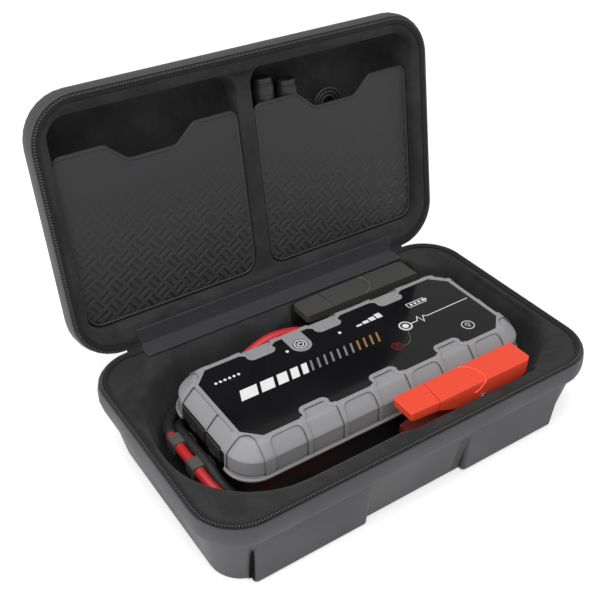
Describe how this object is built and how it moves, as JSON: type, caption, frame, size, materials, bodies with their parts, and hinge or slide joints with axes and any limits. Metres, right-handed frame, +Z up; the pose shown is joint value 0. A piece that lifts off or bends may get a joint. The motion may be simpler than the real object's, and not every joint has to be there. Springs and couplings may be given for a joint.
{
  "type": "jump starter in its case",
  "caption": "Lithium car jump starter with clamps on captive leads, lying in a zipped moulded case with pockets in its hinged lid.",
  "frame": {"origin": "centre of the case's flat underside, on the table", "axes": "+X along the case to the torch end, +Y towards the lid's hinge, +Z up"},
  "size_m": [0.416, 0.3279, 0.3219],
  "materials": {
    "shell": "moulded, fine matt grain",
    "lining": "short flock",
    "panel": "embossed laminate",
    "zip": "woven tape with a moulded coil",
    "hinge": "woven strip",
    "slider": "black enamel",
    "bumper": "satin grey",
    "black_plastic": "matt black",
    "face": "gloss black with white marks",
    "white": "clear white",
    "override": "dark red",
    "rubber": "black",
    "red_rubber": "red",
    "board": "green laminate",
    "cells": "foil pouch",
    "copper": "bare copper",
    "steel": "bright steel",
    "lens": "clear",
    "red_grip": "soft orange-red",
    "black_grip": "soft black",
    "adapter": "black with a grey band"
  },
  "bodies": {
    "case_base": {"base_shell": "shell", "base_lining": "lining", "base_zip_tape": "zip", "base_zip_coil": "zip", "hinge_leaf_base": "hinge", "left_slider": "slider", "right_slider": "slider", "upper_housing": "bumper", "lower_housing": "black_plastic", "face_plate": "face", "end_cap": "black_plastic", "charge_lights": "white", "status_lights": "white", "circuit_board": "board", "battery_cells": "cells", "terminal_bars": "copper", "housing_screws": "steel", "torch_cap": "black_plastic", "torch_reflector": "steel", "torch_lens": "lens", "red_gland": "rubber", "black_gland": "rubber", "red_lead": "red_rubber", "black_lead": "rubber", "lead_clips": "black_plastic", "red_lower_arm": "red_grip", "red_lower_jaw": "copper", "red_pivot": "steel", "red_spring": "steel", "black_lower_arm": "black_grip", "black_lower_jaw": "copper", "black_pivot": "steel", "black_spring": "steel"},
    "lid": {"lid_shell": "shell", "lid_lining": "lining", "lid_zip_tape": "zip", "lid_zip_coil": "zip", "left_pocket_panel": "panel", "right_pocket_panel": "panel", "hinge_leaf_lid": "hinge", "adapter_plug": "adapter", "adapter_socket": "adapter", "adapter_hank": "rubber", "adapter_tails": "rubber"},
    "power_button": {"power_button": "black_plastic"},
    "boost_button": {"boost_button": "white"},
    "override_button": {"override_button": "override"},
    "light_button": {"light_button": "black_plastic"},
    "out_cover": {"out_port_cover": "rubber"},
    "in_cover": {"in_port_cover": "rubber"},
    "left_pull": {"left_pull": "slider"},
    "right_pull": {"right_pull": "slider"},
    "red_jaw": {"red_upper_arm": "red_grip", "red_upper_jaw": "copper"},
    "black_jaw": {"black_upper_arm": "black_grip", "black_upper_jaw": "copper"}
  },
  "joints": [
    {"name": "lid_hinge", "type": "hinge", "parent": "case_base", "child": "lid", "pos_m": [0, 0.1215, 0.082], "axis": [1, 0, 0], "range_deg": [-12, 99.8]},
    {"name": "power_press", "type": "slide", "parent": "case_base", "child": "power_button", "axis": [0, 0, -1], "range_m": [0, 0.0008], "stiffness_N_per_m": 400, "springref_m": -0.001},
    {"name": "boost_press", "type": "slide", "parent": "case_base", "child": "boost_button", "axis": [0, 0, -1], "range_m": [0, 0.0008], "stiffness_N_per_m": 400, "springref_m": -0.001},
    {"name": "override_press", "type": "slide", "parent": "case_base", "child": "override_button", "axis": [0, 0, -1], "range_m": [0, 0.0008], "stiffness_N_per_m": 400, "springref_m": -0.001},
    {"name": "light_press", "type": "slide", "parent": "case_base", "child": "light_button", "axis": [0, 0, -1], "range_m": [0, 0.0008], "stiffness_N_per_m": 400, "springref_m": -0.001},
    {"name": "out_cover_hinge", "type": "hinge", "parent": "case_base", "child": "out_cover", "pos_m": [-0.1528, 0.0115, 0.0766], "axis": [0, 1, 0], "range_deg": [0, 80], "stiffness_Nm_per_rad": 0.01},
    {"name": "in_cover_hinge", "type": "hinge", "parent": "case_base", "child": "in_cover", "pos_m": [-0.1528, -0.022, 0.0766], "axis": [0, 1, 0], "range_deg": [0, 80], "stiffness_Nm_per_rad": 0.01},
    {"name": "left_pull_swing", "type": "hinge", "parent": "case_base", "child": "left_pull", "pos_m": [-0.155, 0.12574, 0.07694], "axis": [1, 0, 0], "range_deg": [0, 45]},
    {"name": "right_pull_swing", "type": "hinge", "parent": "case_base", "child": "right_pull", "pos_m": [0.155, 0.12574, 0.07694], "axis": [1, 0, 0], "range_deg": [0, 45]},
    {"name": "red_clamp_pivot", "type": "hinge", "parent": "case_base", "child": "red_jaw", "pos_m": [0.07487, -0.0886, 0.074], "axis": [0, 1, 0], "range_deg": [-20, 0], "stiffness_Nm_per_rad": 3, "springref_deg": 20.05},
    {"name": "black_clamp_pivot", "type": "hinge", "parent": "case_base", "child": "black_jaw", "pos_m": [0.08837, 0.0885, 0.062], "axis": [0, 1, 0], "range_deg": [-20, 0], "stiffness_Nm_per_rad": 3, "springref_deg": 20.05}
  ]
}
